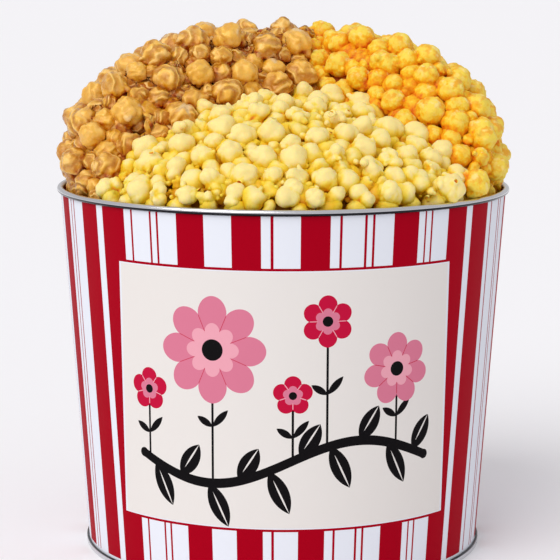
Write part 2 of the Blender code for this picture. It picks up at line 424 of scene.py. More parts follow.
def offsets(place):
    """How far each point of the label is across and up from a place."""
    return wrap.sum("SUBTRACT", across, place[0]), wrap.sum("SUBTRACT", up, place[1])


def distance(place):
    """The distance of each point of the label from a place."""
    side, rise = offsets(place)
    return wrap.sum("SQRT", wrap.sum("ADD", both(side, side), both(rise, rise)))


def disc(place, size):
    return wrap.sum("LESS_THAN", distance(place), size)


def petal_swing(place, petals):
    """1 along the middle of each petal, falling to 0 between them."""
    side, rise = offsets(place)
    half_turns = wrap.sum("MULTIPLY", wrap.sum("ARCTAN2", side, rise), petals / 2)
    return wrap.sum("ABSOLUTE", wrap.sum("COSINE", half_turns))


def flower(place, size, petals, depth):
    """A flower whose round petals reach out to size, with notches of this depth between them."""
    swing = wrap.sum("POWER", petal_swing(place, petals), PETAL_ROUNDING)
    edge = wrap.sum("MULTIPLY_ADD", swing, depth, size - depth)
    return wrap.sum("LESS_THAN", distance(place), edge)


def petal_lines(place, size, petals):
    """Fine lines that part the petals, from the flower's heart to their notches."""
    between = wrap.sum("LESS_THAN", both(petal_swing(place, petals), distance(place)), PETAL_LINE)
    return both(between, disc(place, size))


def leaf(root, tip, width):
    """A pointed leaf from root to tip: the overlap of two discs on either side of it."""
    root, tip = Vector(root), Vector(tip)
    half = (tip - root).length / 2
    size = (half * half + width * width / 4) / width
    sideways = (tip - root).orthogonal().normalized() * (size - width / 2)
    middle = (root + tip) / 2
    return both(disc(middle + sideways, size), disc(middle - sideways, size))


def lay(mask, ink):
    """Prints a colour over what is there."""
    global label
    label = wrap.blend(mask, label, ink)


# %% Label picture
LABEL_CREAM = colour("#E4DFDB")
INK_BLACK = colour("#141214")
INK_PINK = colour("#D67A93")
INK_ROSE = colour("#E9A3B2")
INK_CRIMSON = colour("#C0143C")
STEM_HALF_WIDTH = 0.0025
STALK_HALF_WIDTH = 0.0006
STEM_HEIGHT = 0.066
STEM_SWING = 0.011
STEM_WAVE = math.tau / 0.150
STEM_HALF_LENGTH = 0.076
STALK_LEAF_WIDTH = 0.0036
LEAF_COUNT = 10
LEAF_WIDTH = 0.0095
LEAF_LEAN = 0.010
LEAF_UP = 0.017
LEAF_DOWN = 0.022
VEIN_WIDTH = 0.0009

# A flower's notches, petal lines, heart, heart's notches and middle, as shares of its size.
NOTCH, LINE_REACH, HEART, HEART_NOTCH, MIDDLE = 0.30, 0.69, 0.50, 0.14, 0.20


def stem_at(side):
    """Height of the bold stem's middle at a distance across from the label's centre."""
    return STEM_HEIGHT + STEM_SWING * math.sin(STEM_WAVE * side)


label = LABEL_CREAM
wave = wrap.sum("MULTIPLY_ADD", wrap.sum("SINE", wrap.sum("MULTIPLY", across, STEM_WAVE)), STEM_SWING, STEM_HEIGHT)
stem = both(within(up, wave, STEM_HALF_WIDTH), within(across, 0.0, STEM_HALF_LENGTH))

# Flowers as place, size, petals and inks, each over a thin stalk with two small leaves that rises from the stem.
FLOWERS = (
    ((-0.036, 0.123), 0.0270, 8, INK_PINK, INK_ROSE, INK_CRIMSON),
    ((0.021, 0.138), 0.0130, 6, INK_CRIMSON, INK_PINK, INK_ROSE),
    ((0.058, 0.112), 0.0185, 7, INK_PINK, INK_ROSE, INK_CRIMSON),
    ((-0.072, 0.100), 0.0110, 5, INK_CRIMSON, INK_PINK, INK_ROSE),
    ((0.004, 0.101), 0.0100, 5, INK_CRIMSON, INK_PINK, INK_ROSE),
)
for place, size, petals, petal_ink, heart_ink, line_ink in FLOWERS:
    side, height = place
    middle = (height + stem_at(side)) / 2
    lay(both(within(across, side, STALK_HALF_WIDTH), within(up, middle, (height - stem_at(side)) / 2)), INK_BLACK)
    for way in (-1, 1):
        tip = (side + way * 0.008, middle + 0.002 + way * 0.002)
        lay(leaf((side, middle - 0.005), tip, STALK_LEAF_WIDTH), INK_BLACK)
    lay(flower(place, size, petals, size * NOTCH), petal_ink)
    lay(petal_lines(place, size * LINE_REACH, petals), line_ink)
    lay(flower(place, size * HEART, petals, size * HEART_NOTCH), heart_ink)
    lay(disc(place, size * MIDDLE), INK_BLACK)
lay(stem, INK_BLACK)
for side in (-STEM_HALF_LENGTH, STEM_HALF_LENGTH):
    lay(disc((side, stem_at(side)), STEM_HALF_WIDTH), INK_BLACK)
for number in range(LEAF_COUNT):
    side = STEM_HALF_LENGTH * (2 * (number + 0.5) / LEAF_COUNT - 1)
    way = 1 if number % 2 else -1
    tip = (side + LEAF_LEAN, stem_at(side) + way * (LEAF_UP if way > 0 else LEAF_DOWN))
    lay(leaf((side, stem_at(side)), tip, LEAF_WIDTH), INK_BLACK)
    lay(leaf((side + 0.002, stem_at(side) + way * 0.0045), tip, VEIN_WIDTH), LABEL_CREAM)

label_middle = (LABEL_TOP + LABEL_BOTTOM) / 2
label_reach = (LABEL_TOP - LABEL_BOTTOM) / 2
on_label, inner = [
    both(within(across, 0.0, LABEL_HALF_WIDTH - edge), within(up, label_middle, label_reach - edge))
    for edge in (0.0, LABEL_EDGE)]
label = wrap.blend(inner, PRINT_WHITE, label)
line = wrap.sum("MAXIMUM", within(up, LABEL_TOP, LABEL_LINE / 2), within(up, LABEL_BOTTOM, LABEL_LINE / 2))
line = both(line, within(across, 0.0, LABEL_HALF_WIDTH))
printed = wrap.blend(on_label, printed, label)
printed = wrap.blend(line, printed, PRINT_RED)


# %% [markdown]
# ## Lacquer over the print
# The ink lies on the metal under a clear lacquer, so the wall shines softly: hardly at all where it faces the eye,
# and as a pale veil where it turns away. A low IOR gives that, and a very low bump makes it waver as on thin sheet.

# %% Printed wall's finish
wrap.set(Base_Color=printed, Roughness=0.48, IOR=1.25, Specular_IOR_Level=0.08)
wrap.bump(wrap.noise(scale=22.0, detail=1.0), distance=0.0004)
inside = Pattern("unprinted_inside")
inside.set(Base_Color=colour("#B9B5A8"), Metallic=0.8,
           Roughness=inside.sum("MULTIPLY_ADD", inside.noise(scale=60.0), 0.2, 0.3))
tin_wall.data.materials.append(wrap.material)
tin_wall.data.materials.append(inside.material)
print("nodes in the print:", len(wrap.tree.nodes))


# %% [markdown]
# ## The heap
# The three flavours fill a third of the tin each. The butter popcorn, at the front, lies lower, and the caramel
# and the cheese popcorn pile up behind it in one dome. These are the same sums that shaped the solids, so that
# each real kernel lands where the solid has one.

# %% Shape of the heap
HEAP_FOOT = TIN_HEIGHT + 0.004
HEAP_RADIUS = 0.114
DOME_HEIGHT = 0.0768
DOME_POWER = 2.25
DOME_LEAN = 0.04
CAP_HEIGHT = 0.043
SHOULDER = 0.028
SHOULDER_LIP = 0.005
GAP = 0.0004
MEETING_POINT = Vector((0.020, 0.0))
BORDERS = {"left": -153.0, "right": -36.0, "back": 108.0}
THIRDS = {
    "butter": ("left", "right"),
    "cheese": ("right", "back"),
    "caramel": ("back", "left"),
}


def smooth(share):
    """An eased step from 0 to 1."""
    share = min(1.0, max(0.0, share))
    return share * share * (3 - 2 * share)


def border_direction(name):
    """The direction in which a border between two flavours leaves the point where the three meet."""
    angle = math.radians(BORDERS[name])
    return Vector((math.cos(angle), math.sin(angle)))


def depth_in_third(flavour, x, y):
    """How far a place, seen from above, lies inside one flavour's third. It is negative outside."""
    first, last = (border_direction(name) for name in THIRDS[flavour])
    way = Vector((x, y)) - MEETING_POINT
    past_first = first.x * way.y - first.y * way.x
    before_last = way.x * last.y - way.y * last.x
    return min(past_first, before_last)


def flavour_at(x, y):
    """The flavour that lies at a place, seen from above."""
    return max(THIRDS, key=lambda flavour: depth_in_third(flavour, x, y))


def heap_height(x, y):
    """Height of the kernels' centres above the heap's foot: a dome behind, and a lower cap at the front."""
    out = min(1.0, math.hypot(x, y) / HEAP_RADIUS)
    dome = DOME_HEIGHT * (1 - out**DOME_POWER) ** (1 / DOME_POWER) * (1 + DOME_LEAN * x / HEAP_RADIUS)
    cap = CAP_HEIGHT * (1 - out**2)
    share = smooth((depth_in_third("butter", x, y) + SHOULDER) / (SHOULDER + SHOULDER_LIP))
    return dome + (cap - dome) * share


def heap_reach(direction):
    """How far the heap reaches from its foot's centre in an upward direction."""
    near, far = 0.0, HEAP_RADIUS * 1.2
    for _ in range(24):
        middle = (near + far) / 2
        point = direction * middle
        if math.hypot(point.x, point.y) < HEAP_RADIUS and point.z < heap_height(point.x, point.y):
            near = middle
        else:
            far = middle
    return near


# %% [markdown]
# ## Where the kernels lie
# Spots on the heap are tried in a shuffled order, the largest kernels first, and each is kept where it has room.
# This gives the skin: the kernels of the solids.

# %% Scatter the skin
KERNEL_RADIUS = {"butter": (0.0063, 0.0090), "caramel": (0.0072, 0.0104), "cheese": (0.0068, 0.0094)}
CLOSENESS = 0.77
CANDIDATES = 6000
SCATTER_SEED = 11

Kernel = namedtuple("Kernel", "flavour centre radius turn squash depth layer")
FOOT = Vector((0.0, 0.0, HEAP_FOOT))


def around_axis(angle, out, height):
    """A place at this angle round the axis and this far out from it."""
    return Vector((out * math.cos(angle), out * math.sin(angle), height))


def spiral_directions(count):
    """Upward directions spread evenly by a golden-angle spiral."""
    golden = math.pi * (3 - math.sqrt(5))
    directions = []
    for i in range(count):
        rise = (i + 0.5) / count
        out = math.sqrt(1 - rise * rise)
        directions.append(around_axis(golden * i, out, rise))
    return directions


def clear_of_rim(seat, radius):
    """Moves a kernel in towards the axis until it clears the rolled rim."""
    needed = radius + BEAD_RADIUS + GAP
    above = seat.z - (TIN_HEIGHT - BEAD_RADIUS)
    if above >= needed:
        return seat
    most = RIM_RADIUS - BEAD_RADIUS - math.sqrt(needed * needed - above * above)
    out = math.hypot(seat.x, seat.y)
    share = min(1.0, most / out) if out else 1.0
    return Vector((seat.x * share, seat.y * share, seat.z))


def room_at(centre, kernels, closeness):
    """The radius that a kernel may have at a place, between those that lie there already."""
    if not kernels:
        return math.inf
    return min((centre - other.centre).length / closeness - other.radius for other in kernels)


def turned_kernel(draw, flavour, centre, size, depth, layer):
    """A kernel with a random turn and slightly squashed."""
    turning = Euler([draw.uniform(0, math.tau) for _ in range(3)])
    squash = [draw.uniform(0.88, 1.0) for _ in range(3)]
    return Kernel(flavour, centre, size, turning, squash, depth, layer)


DIRECTIONS = spiral_directions(CANDIDATES)
REACHES = [heap_reach(direction) for direction in DIRECTIONS]


def shuffled_spots(draw):
    """The heap's directions, each with its reach, in a random order."""
    glint_spots = list(zip(DIRECTIONS, REACHES))
    draw.shuffle(glint_spots)
    return glint_spots


draw = random.Random(SCATTER_SEED)
skin = []
for number, (direction, reach) in enumerate(shuffled_spots(draw)):
    seat = FOOT + direction * reach
    flavour = flavour_at(seat.x, seat.y)
    smallest, largest = KERNEL_RADIUS[flavour]
    size = largest + (smallest - largest) * number / CANDIDATES
    kernel = turned_kernel(draw, flavour, clear_of_rim(seat, size), size, 0.0, "skin")
    if room_at(kernel.centre, skin, CLOSENESS) > size:
        skin.append(kernel)
print("kernels in the skin:", len(skin))


# %% [markdown]
# ### Fill the gaps
# A gap in a real heap shows another kernel, and not a void. Wherever one is wide enough, a kernel as large as
# fits goes in a little below the skin, and another layer goes in deeper. Broken bits lodge in the narrow gaps. Two
# rings of kernels just inside the rim, one below the other, close the view down along the wall.

# %% Layers below, bits and the rings
def fill(layer, seed, depth, closeness, smallest, largest, kernels):
    """Puts a kernel as large as fits wherever there is room for the smallest."""
    draw = random.Random(seed)
    made = []
    for direction, reach in shuffled_spots(draw):
        seat = FOOT + direction * (reach - depth)
        centre = clear_of_rim(seat, smallest)
        room = room_at(centre, kernels + made, closeness)
        if room > smallest:
            size = min(room, largest)
            flavour = flavour_at(seat.x, seat.y)
            made.append(turned_kernel(draw, flavour, clear_of_rim(seat, size), size, depth, layer))
    return made


# Each layer by its form, the seed of its draw, its depth, its closeness, and its smallest and largest kernel.
second = fill("deep", 12, 0.0044, 0.58, 0.0062, 0.0088, skin)
third = fill("buried", 13, 0.0095, 0.48, 0.0066, 0.0092, skin + second)
bits = fill("bits", 14, 0.0024, 0.64, 0.0034, 0.0056, skin + second)

# Each ring by its count, its depth below the rim's top, and its smallest and largest kernel.
RINGS = ((46, 0.0015, 0.0066, 0.0080), (62, 0.0085, 0.0056, 0.0064))
RING_DEPTH = 0.0065
draw = random.Random(15)
ring = []
for count, below_rim, smallest, largest in RINGS:
    for number in range(count):
        angle = math.tau * number / count
        size = draw.uniform(smallest, largest)
        out = RIM_RADIUS - 2 * BEAD_RADIUS - GAP - size
        centre = around_axis(angle, out, TIN_HEIGHT - below_rim)
        ring.append(turned_kernel(draw, flavour_at(centre.x, centre.y), centre, size, RING_DEPTH, "buried"))
print("below the skin:", len(second), "deeper:", len(third), "bits:", len(bits), "ring:", len(ring))


# %% [markdown]
# ### Kernels on the rim
# A heap this full spills a little: at the front right two kernels have come to lie on the rolled rim itself.

# %% Rim kernels
ON_RIM_INSET = 0.0045
ON_RIM_RISE = 0.0068
ON_RIM_TURN = Euler((1.0, 2.2, 0.4))
for flavour, degrees_round, size in (("butter", -44.5, 0.0090), ("cheese", -33.0, 0.0086)):
    centre = around_axis(math.radians(degrees_round), RIM_RADIUS - ON_RIM_INSET, TIN_HEIGHT + ON_RIM_RISE)
    skin.append(Kernel(flavour, centre, size, ON_RIM_TURN, [1.0, 0.9, 0.95], 0.0, "skin"))
kernels = skin + second + third + bits + ring


# %% [markdown]
# ## One popped kernel
# Popped corn of this kind is a round head with small knobs at its foot, where the hull burst. Balls of several
# sizes are joined, and a voxel Remesh grows them together into one skin. A crackle texture, which is lowest along the
# borders between its cells, then presses creases into it, so that the skin swells in lobes as foam does. Each
# kind is modelled in a few forms, and copied and turned without the eye finding the repeats. Every form is made
# at its own spot, so that no two share the same piece of texture, and is moved back to the centre at the end.

# %% Grow a lump from balls
FORM_RADIUS = 0.0080
FORM_REACH = 1.11
VOXEL = 0.00045


def on_ball(draw, lowest, highest):
    """A direction at random, with its height on the unit ball between two limits."""
    rise = draw.uniform(lowest, highest)
    angle = draw.uniform(0, math.tau)
    return around_axis(angle, math.sqrt(1 - rise * rise), rise)


def lump(name, balls, spot, tube=None):
    """Balls, given as place and radius in units of the form's radius, grown together into one lump."""
    made = []
    for place, size in balls:
        bpy.ops.mesh.primitive_ico_sphere_add(
            subdivisions=3, radius=size * FORM_RADIUS, location=(Vector(place) + spot) * FORM_RADIUS)
        made.append(added(name))
    if tube:
        bpy.ops.mesh.primitive_torus_add(
            major_radius=TUBE_RADIUS * FORM_RADIUS, minor_radius=TUBE_THICKNESS * FORM_RADIUS,
            location=(tube + spot) * FORM_RADIUS, rotation=tube.to_track_quat("Z", "Y").to_euler())
        made.append(added(name))
    obj = join(made, name)
    settle(obj)
    apply_modifier(obj, "REMESH", mode="VOXEL", voxel_size=VOXEL)
    apply_modifier(obj, "SMOOTH", factor=0.5, iterations=3)
    return obj


def press(obj, texture_kind, grain, strength, level, **settings):
    """Moves the surface in and out by a texture of this kind and grain."""
    texture = bpy.data.textures.new(f"{obj.name}_{texture_kind.lower()}", texture_kind)
    texture.noise_scale = grain
    for setting, value in settings.items():
        setattr(texture, setting, value)
    apply_modifier(obj, "DISPLACE", texture=texture, texture_coords="LOCAL", strength=strength, mid_level=level)


def crease(obj, grain, strength, sharpness=2.0):
    """Presses creases along the borders of a crackle texture's cells. Sharper ones are narrow grooves."""
    level = min(0.15 * sharpness, 0.85)
    press(obj, "VORONOI", grain, strength, level, weight_1=-1.0, weight_2=1.0, noise_intensity=sharpness)


def finish_form(obj, faces, spot, tube=None, reach=FORM_REACH):
    """Thins the mesh, brings it back to the centre at its true size, and keeps the place of its tube's hole."""
    apply_modifier(obj, "TRIANGULATE")
    share = faces / len(obj.data.polygons)
    if share < 1:
        apply_modifier(obj, "DECIMATE", ratio=share)
    obj.location = -spot * FORM_RADIUS
    settle(obj)
    growth = reach * FORM_RADIUS / max(vertex.co.length for vertex in obj.data.vertices)
    obj.scale = (growth,) * 3
    settle(obj)
    obj["hole"] = tube * FORM_RADIUS * growth if tube else (1.0, 1.0, 1.0)
    return obj


# %% [markdown]
# ### Butter kernels
# These popped into smooth, pale balls. Some are one round head with a frill of knobs at its foot, others are two
# lobes side by side, and the small ones between are nearly all frill. On a few, the split hull has left a short
# tube with a brown hole: a torus on the head grows into that.

# %% Butter forms
SKIN_FACES = 1220
DEEP_FACES = 320
BURIED_FACES = 140
BIT_FACES = 260
SPOT_STEP = 20.0
TUBE_RADIUS = 0.20
TUBE_THICKNESS = 0.11


def foot_frill(draw, count, smallest, largest):
    """A ring of knobs round the foot of a head."""
    frill = []
    for number in range(count):
        angle = math.tau * number / count + draw.uniform(-0.3, 0.3)
        place = around_axis(angle, draw.uniform(0.60, 0.82), draw.uniform(-0.78, -0.40))
        frill.append((place, draw.uniform(smallest, largest)))
    return frill


def butter_balls(draw, number):
    if number % 4 == 3:
        balls = [(on_ball(draw, -0.7, 0.8) * 0.50, draw.uniform(0.44, 0.60)) for _ in range(5)]
        return balls + [(on_ball(draw, -0.9, 0.7) * 0.92, draw.uniform(0.17, 0.27)) for _ in range(7)]
    if number % 4 == 2:
        balls = [((0.34, 0.0, 0.10), 0.80), ((-0.44, 0.12, 0.02), 0.68)]
        return balls + foot_frill(draw, 5, 0.20, 0.32)
    balls = [((0.0, 0.0, 0.06), draw.uniform(0.94, 1.0))]
    if number % 2:
        balls.append((on_ball(draw, -0.2, 0.4) * 0.60, 0.56))
    return balls + foot_frill(draw, draw.choice((5, 6, 7)), 0.20, 0.32)


def butter_form(number, faces):
    draw = random.Random(100 + number)
    spot = Vector((SPOT_STEP * number, 0.0, 0.0))
    tube = on_ball(draw, -0.1, 0.7) * 1.04 if number % 3 == 1 else None
    form = lump(f"butter_form_{number}", butter_balls(draw, number), spot, tube)
    crease(form, 0.0120, 0.0010, 5.0)
    press(form, "CLOUDS", 0.0066, 0.0012, 0.5)
    press(form, "CLOUDS", 0.0024, 0.0004, 0.5)
    return finish_form(form, faces, spot, tube)


# %% [markdown]
# ### Caramel kernels
# Caramel clings in a thick coat that wrinkles as it cools: large round balls with a few ridges and deep furrows like
# a walnut. Two crackles, a coarse and a fine one, press the furrows, and a little noise makes the coat uneven.

# %% Caramel forms
def caramel_form(number, faces):
    draw = random.Random(200 + number)
    spot = Vector((SPOT_STEP * number, SPOT_STEP, 0.0))
    balls = [((0.0, 0.0, 0.04), draw.uniform(0.96, 1.02))]
    balls += [(on_ball(draw, -0.6, 0.6) * 0.55, draw.uniform(0.46, 0.56)) for _ in range(number % 2)]
    balls += foot_frill(draw, 3, 0.22, 0.32)
    form = lump(f"caramel_form_{number}", balls, spot)
    crease(form, 0.0100, 0.0009, 5.0)
    crease(form, 0.0046, 0.0006, 3.0)
    press(form, "CLOUDS", 0.0036, 0.0008, 0.5)
    return finish_form(form, faces, spot)


# %% [markdown]
# ### Cheese kernels
# Cheese powder sticks to the same round corn as a rough crust. Some low lumps on a round or longish head, a
# coarse crackle for its lobes and a fine noise for the crust make it.

# %% Cheese forms
def cheese_form(number, faces):
    draw = random.Random(300 + number)
    spot = Vector((SPOT_STEP * number, 2 * SPOT_STEP, 0.0))
    long_side = draw.choice((0.03, 0.10, 0.26))
    balls = [((long_side, 0.0, 0.05), 0.97 - long_side / 2), ((-long_side, 0.0, 0.0), 0.95 - long_side / 2)]
    balls += [(on_ball(draw, -0.8, 0.8) * 0.70, draw.uniform(0.30, 0.38)) for _ in range(3)]
    balls += foot_frill(draw, 3, 0.20, 0.30)
    form = lump(f"cheese_form_{number}", balls, spot)
    crease(form, 0.0080, 0.0008, 4.0)
    press(form, "CLOUDS", 0.0036, 0.0009, 0.5)
    press(form, "CLOUDS", 0.0016, 0.0006, 0.5)
    return finish_form(form, faces, spot)


# %% [markdown]
# ### Flakes
# Among the caramel kernels lie cupped flakes of broken shell. A ball is cut open, its rest is given a thickness, and
# two noises wrinkle it.

# %% Caramel flakes
FLAKE_REACH = 1.6


def flake_form(number, faces):
    draw = random.Random(400 + number)
    spot = Vector((SPOT_STEP * number, 3 * SPOT_STEP, 0.0))
    bpy.ops.mesh.primitive_ico_sphere_add(subdivisions=4, radius=FORM_RADIUS, location=spot * FORM_RADIUS)
    flake = added(f"flake_form_{number}")
    flake.scale = (1.15, draw.uniform(0.80, 0.95), draw.uniform(0.55, 0.75))
    settle(flake)
    cut = draw.uniform(0.10, 0.30) * FORM_RADIUS
    pick_faces(flake, lambda centre, normal: centre.z > cut)
    bpy.ops.mesh.delete(type="FACE")
    bpy.ops.object.mode_set(mode="OBJECT")
    apply_modifier(flake, "SOLIDIFY", thickness=0.0012, offset=0.0)
    crease(flake, 0.0070, 0.0026)
    press(flake, "CLOUDS", 0.0045, 0.0026, 0.5)
    return finish_form(flake, faces, spot, reach=FLAKE_REACH)


# %% Make the forms
MAKERS = {"butter": butter_form, "caramel": caramel_form, "cheese": cheese_form}
FORMS = {}
for flavour, maker in MAKERS.items():
    FORMS[flavour, "skin"] = [maker(number, SKIN_FACES) for number in range(10)]
    FORMS[flavour, "deep"] = [maker(number, DEEP_FACES) for number in (0, 3, 5, 6)]
    FORMS[flavour, "buried"] = [maker(number, BURIED_FACES) for number in (0, 5, 6)]
FORMS["butter", "bits"] = [butter_form(number, BIT_FACES) for number in (3, 7, 11)]
FORMS["caramel", "bits"] = [flake_form(number, BIT_FACES) for number in range(4)]
FORMS["cheese", "bits"] = [cheese_form(number, BIT_FACES) for number in (20, 21, 22)]
for (flavour, layer), forms in FORMS.items():
    print(flavour, layer, [len(form.data.polygons) for form in forms])


# %% [markdown]
# ## Marks for the colours
# Popcorn is painted darker where it folds in, as painted shade, and no two kernels match. Both marks are kept on the
# mesh, where the material reads them. The crease mark compares each point with a smoothed copy of the form: in a fold
# the smooth copy lies above the point. The tint mark is one number for a whole kernel.

# %% Crease mark
CREASE_SOFTENING = 12
CREASE_DEPTH = 0.0005


def read(collection, field, width, kind=np.float64):
    """One field of a mesh's points, edges or faces, as rows of numbers."""
    values = np.empty(len(collection) * width, dtype=kind)
    collection.foreach_get(field, values)
    return values.reshape(-1, width)


def crease_mark(mesh):
    """How deep each point lies in a fold, from 0 on a ridge to 1 in a furrow."""
    points = read(mesh.vertices, "co", 3)
    edges = read(mesh.edges, "vertices", 2, np.int64)
    neighbours = np.bincount(edges.ravel(), minlength=len(points))[:, None]
    soft = points.copy()
    for _ in range(CREASE_SOFTENING):
        total = np.zeros_like(soft)
        np.add.at(total, edges[:, 0], soft[edges[:, 1]])
        np.add.at(total, edges[:, 1], soft[edges[:, 0]])
        soft = (soft + total / neighbours) / 2
    sunk = ((soft - points) * read(mesh.vertices, "normal", 3)).sum(axis=1)
    return np.clip(0.5 + sunk / CREASE_DEPTH / 2, 0.0, 1.0)


# %% [markdown]
# ## Fill the heap
# Each flavour's kernels become one mesh, put together from arrays, since hundreds of copied objects would be
# slow to handle and slower to join. A kernel turns its head outwards with a random tilt, as most do in a heap.
# Each point also gets two marks for painted light and shade, which make the colour deeper between the kernels: how
# far it lies below its kernel's crest, which leans upwards so that tops are painted paler, and how near it is to a
# neighbour. Its place on its own kernel is kept too, for a pattern that has to turn with the kernel.

# %% Join the kernels of a flavour
HEAP_HEART = Vector((0.0, 0.0, HEAP_FOOT - 0.050))
HEAD_TILT = math.radians(60)
HOLE_RADIUS = 0.0012
# Painted shade near a neighbour, and on the deeper layers by LAYER_SHADE.
CONTACT_GAP = 0.0030
CONTACT_SHARE = 0.90
LAYER_SHADE = 0.75
LAYERS = ("skin", "deep", "buried", "bits")


def outwards(kernel):
    """The direction from the heap's heart to the kernel."""
    return (kernel.centre - HEAP_HEART).normalized()


def contact_mark(points, kernel):
    """How near each point lies to a neighbouring kernel, from 0 in the open to 1 where they touch."""
    mark = np.zeros(len(points))
    for other in kernels:
        if other is not kernel and (other.centre - kernel.centre).length < kernel.radius * 1.3 + other.radius:
            gap = np.linalg.norm(points - np.array(other.centre), axis=1) - CONTACT_SHARE * other.radius
            mark = np.maximum(mark, 1.0 - gap / CONTACT_GAP)
    return np.clip(mark, 0.0, 1.0)


def kernel_matrix(kernel):
    """How a form is set: its head outwards, tilted and spun at random, and scaled to the kernel."""
    facing = outwards(kernel).to_track_quat("Z", "Y").to_matrix()
    spin = Matrix.Rotation(kernel.turn.x, 3, "Z")
    tilt = Matrix.Rotation(HEAD_TILT * math.sin(kernel.turn.y), 3, "X")
    own_spin = Matrix.Rotation(kernel.turn.z, 3, "Z")
    scale = Matrix.Diagonal([kernel.radius / FORM_RADIUS * share for share in kernel.squash])
    return np.array(facing @ spin @ tilt @ own_spin @ scale)


def arrays_of(form):
    """A form's points, faces and crease mark, which is highest in a tube's hole."""
    points = read(form.data.vertices, "co", 3)
    mark = crease_mark(form.data)
    hole = np.linalg.norm(points - np.array(form["hole"]), axis=1) < HOLE_RADIUS
    return points, read(form.data.polygons, "vertices", 3, np.int64), np.where(hole, 2.0, mark)


def heap_of(flavour):
    """One mesh of all this flavour's kernels, with their marks."""
    forms = {layer: [arrays_of(form) for form in FORMS[flavour, layer]] for layer in LAYERS}
    points, faces, own_places = [], [], []
    marks = {"crease": [], "tint": [], "depth": [], "contact": []}
    draw = random.Random(7)
    count = 0
    for kernel in kernels:
        if kernel.flavour != flavour:
            continue
        form_points, form_faces, form_crease = draw.choice(forms[kernel.layer])
        own_places.append(form_points + np.array([draw.random() for _ in range(3)]))
        placed = form_points @ kernel_matrix(kernel).T
        marks["crease"].append(form_crease)
        marks["tint"].append(np.full(len(placed), draw.random()))
        # The crest leans upwards, so tops get painted light and undersides painted shade; deeper layers are painted
        # darker.
        crest = (outwards(kernel) + Vector((0.0, 0.0, 0.7))).normalized()
        marks["depth"].append(kernel.depth * LAYER_SHADE - placed @ np.array(crest))
        placed = placed + np.array(kernel.centre)
        marks["contact"].append(contact_mark(placed, kernel))
        points.append(placed)
        faces.append(form_faces + count)
        count += len(placed)
    mesh = bpy.data.meshes.new(f"{flavour}_kernels")
    mesh.from_pydata(np.concatenate(points).tolist(), [], np.concatenate(faces).tolist())
    for name, values in marks.items():
        mesh.attributes.new(name, "FLOAT", "POINT").data.foreach_set("value", np.concatenate(values))
    own_place = mesh.attributes.new("own_place", "FLOAT_VECTOR", "POINT")
    own_place.data.foreach_set("vector", np.concatenate(own_places).ravel())
    mesh.shade_smooth()
    return linked(f"{flavour}_kernels", mesh)


heaps = {flavour: heap_of(flavour) for flavour in THIRDS}
for forms in FORMS.values():
    for form in forms:
        bpy.data.objects.remove(form)
for flavour, heap in heaps.items():
    print(flavour, "heap:", len(heap.data.polygons), "triangles")


# %% [markdown]
# ## The imported popcorn below
# Under the kernels that show, the tin is full of more of the same. A core of the same shape as the heap, a
# little smaller, stands for them. It closes the gaps between kernels, and its colour is painted shade: the warm dark
# that shows there.

# %% Cores
CORE_DEPTH = 0.0140
CORE_FLOOR = PANEL_TOP + GAP


def core_reach(direction):
    """How far the core reaches from the heap's foot: to just under the skin, or down to the wall or floor."""
    if direction.z > -0.01:
        return heap_reach(direction) - CORE_DEPTH
    out = math.hypot(direction.x, direction.y)
    wall = (wall_radius(HEAP_FOOT) - CORE_DEPTH) / (out - WALL_SLOPE * direction.z)
    return min(wall, (CORE_FLOOR - HEAP_FOOT) / direction.z)


def core_of(flavour):
    """A ball drawn out to the core's shape and cut to this flavour's third by two upright planes."""
    bpy.ops.mesh.primitive_uv_sphere_add(segments=64, ring_count=32, radius=1.0)
    core = added(f"{flavour}_core")
    for vertex in core.data.vertices:
        direction = vertex.co.normalized()
        vertex.co = FOOT + direction * core_reach(direction)
    first, last = (border_direction(name) for name in THIRDS[flavour])
    bpy.ops.object.mode_set(mode="EDIT")
    for way in (Vector((first.y, -first.x, 0.0)), Vector((-last.y, last.x, 0.0))):
        bpy.ops.mesh.select_all(action="SELECT")
        bpy.ops.mesh.bisect(
            plane_co=(MEETING_POINT.x, MEETING_POINT.y, 0.0), plane_no=way, use_fill=True, clear_outer=True)
    bpy.ops.object.mode_set(mode="OBJECT")
    bpy.ops.object.shade_smooth_by_angle(angle=SMOOTH_BELOW)
    return core


cores = {flavour: core_of(flavour) for flavour in THIRDS}
print("cores:", [len(core.data.polygons) for core in cores.values()])


# %% [markdown]
# ## Colours of the popcorn
# Light goes a little way into popped corn and comes out warmer, so each kind has some subsurface. Its colour
# runs from a painted highlight on the crest of a kernel through its own tone to painted shade in the folds and gaps.
# What drives it is the sum of the crease, depth and contact marks, which are painted light and shade, with a broad
# noise for patches and the tint mark to set kernels apart.

# %% Butter finish
CREST_DEPTH = -0.0075
GAP_DEPTH = 0.0090
DEPTH_SHARE = 0.62
TINT_SHARE = 0.24
CREASE_SHARE = 0.60
NEAR_SHARE = 0.42
# Stops of each kind's tones: a painted highlight on the crest, its own colours, and painted shade in the gaps.
TONE_STOPS = (0.05, 0.27, 0.50, 0.75, 1.0)


